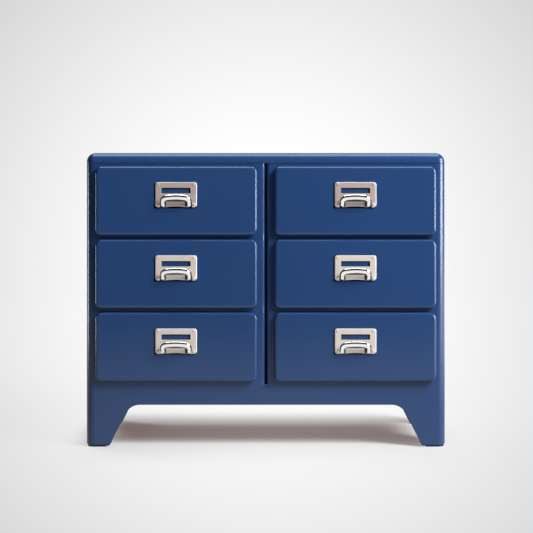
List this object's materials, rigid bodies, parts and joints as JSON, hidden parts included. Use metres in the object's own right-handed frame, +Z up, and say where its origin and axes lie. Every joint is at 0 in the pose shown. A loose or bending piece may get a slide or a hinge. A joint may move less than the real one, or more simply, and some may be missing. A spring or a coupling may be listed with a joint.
{
  "type": "sheet-steel drawer chest",
  "caption": "Painted sheet-steel chest of drawers in side-by-side columns on tapered legs, with label-plate bow pulls on hollow drawer fronts that slide out on steel runners.",
  "frame": {"origin": "centre of the whole chest's box at floor level, handles included", "axes": "+X to the right seen from the front, -Y the way the drawers open, +Z up"},
  "size_m": [0.865, 0.4174, 0.7065],
  "materials": {
    "blue_enamel": "semi-gloss baked enamel",
    "satin_nickel": "satin nickel plate",
    "bright_nickel": "bright nickel plate",
    "zinc_plate": "bright zinc plate",
    "white_nylon": "moulded nylon",
    "black_nylon": "moulded nylon",
    "black_rubber": "soft rubber"
  },
  "bodies": {
    "cabinet": {"back_panel": "blue_enamel", "drawer_1_runners": "zinc_plate", "drawer_2_runners": "zinc_plate", "drawer_3_runners": "zinc_plate", "drawer_4_runners": "zinc_plate", "drawer_5_runners": "zinc_plate", "drawer_6_runners": "zinc_plate", "floor_panel": "blue_enamel", "foot_glides": "black_nylon", "front_bumpers": "black_rubber", "front_frame": "blue_enamel", "left_inner_wall": "blue_enamel", "left_side_panel": "blue_enamel", "right_inner_wall": "blue_enamel", "right_side_panel": "blue_enamel", "runner_pads": "white_nylon", "top_cap": "blue_enamel"},
    "drawer_1": {"drawer_1_box": "blue_enamel", "drawer_1_front": "blue_enamel", "drawer_1_handle": "bright_nickel", "drawer_1_label_plate": "satin_nickel", "drawer_1_rivets": "satin_nickel", "drawer_1_slide_shoes": "white_nylon", "drawer_1_slides": "zinc_plate"},
    "drawer_2": {"drawer_2_box": "blue_enamel", "drawer_2_front": "blue_enamel", "drawer_2_handle": "bright_nickel", "drawer_2_label_plate": "satin_nickel", "drawer_2_rivets": "satin_nickel", "drawer_2_slide_shoes": "white_nylon", "drawer_2_slides": "zinc_plate"},
    "drawer_3": {"drawer_3_box": "blue_enamel", "drawer_3_front": "blue_enamel", "drawer_3_handle": "bright_nickel", "drawer_3_label_plate": "satin_nickel", "drawer_3_rivets": "satin_nickel", "drawer_3_slide_shoes": "white_nylon", "drawer_3_slides": "zinc_plate"},
    "drawer_4": {"drawer_4_box": "blue_enamel", "drawer_4_front": "blue_enamel", "drawer_4_handle": "bright_nickel", "drawer_4_label_plate": "satin_nickel", "drawer_4_rivets": "satin_nickel", "drawer_4_slide_shoes": "white_nylon", "drawer_4_slides": "zinc_plate"},
    "drawer_5": {"drawer_5_box": "blue_enamel", "drawer_5_front": "blue_enamel", "drawer_5_handle": "bright_nickel", "drawer_5_label_plate": "satin_nickel", "drawer_5_rivets": "satin_nickel", "drawer_5_slide_shoes": "white_nylon", "drawer_5_slides": "zinc_plate"},
    "drawer_6": {"drawer_6_box": "blue_enamel", "drawer_6_front": "blue_enamel", "drawer_6_handle": "bright_nickel", "drawer_6_label_plate": "satin_nickel", "drawer_6_rivets": "satin_nickel", "drawer_6_slide_shoes": "white_nylon", "drawer_6_slides": "zinc_plate"}
  },
  "joints": [
    {"name": "drawer_1_slide", "type": "slide", "parent": "cabinet", "child": "drawer_1", "axis": [0, -1, 0], "range_m": [0, 0.28]},
    {"name": "drawer_2_slide", "type": "slide", "parent": "cabinet", "child": "drawer_2", "axis": [0, -1, 0], "range_m": [0, 0.28]},
    {"name": "drawer_3_slide", "type": "slide", "parent": "cabinet", "child": "drawer_3", "axis": [0, -1, 0], "range_m": [0, 0.28]},
    {"name": "drawer_4_slide", "type": "slide", "parent": "cabinet", "child": "drawer_4", "axis": [0, -1, 0], "range_m": [0, 0.28]},
    {"name": "drawer_5_slide", "type": "slide", "parent": "cabinet", "child": "drawer_5", "axis": [0, -1, 0], "range_m": [0, 0.28]},
    {"name": "drawer_6_slide", "type": "slide", "parent": "cabinet", "child": "drawer_6", "axis": [0, -1, 0], "range_m": [0, 0.28]}
  ]
}
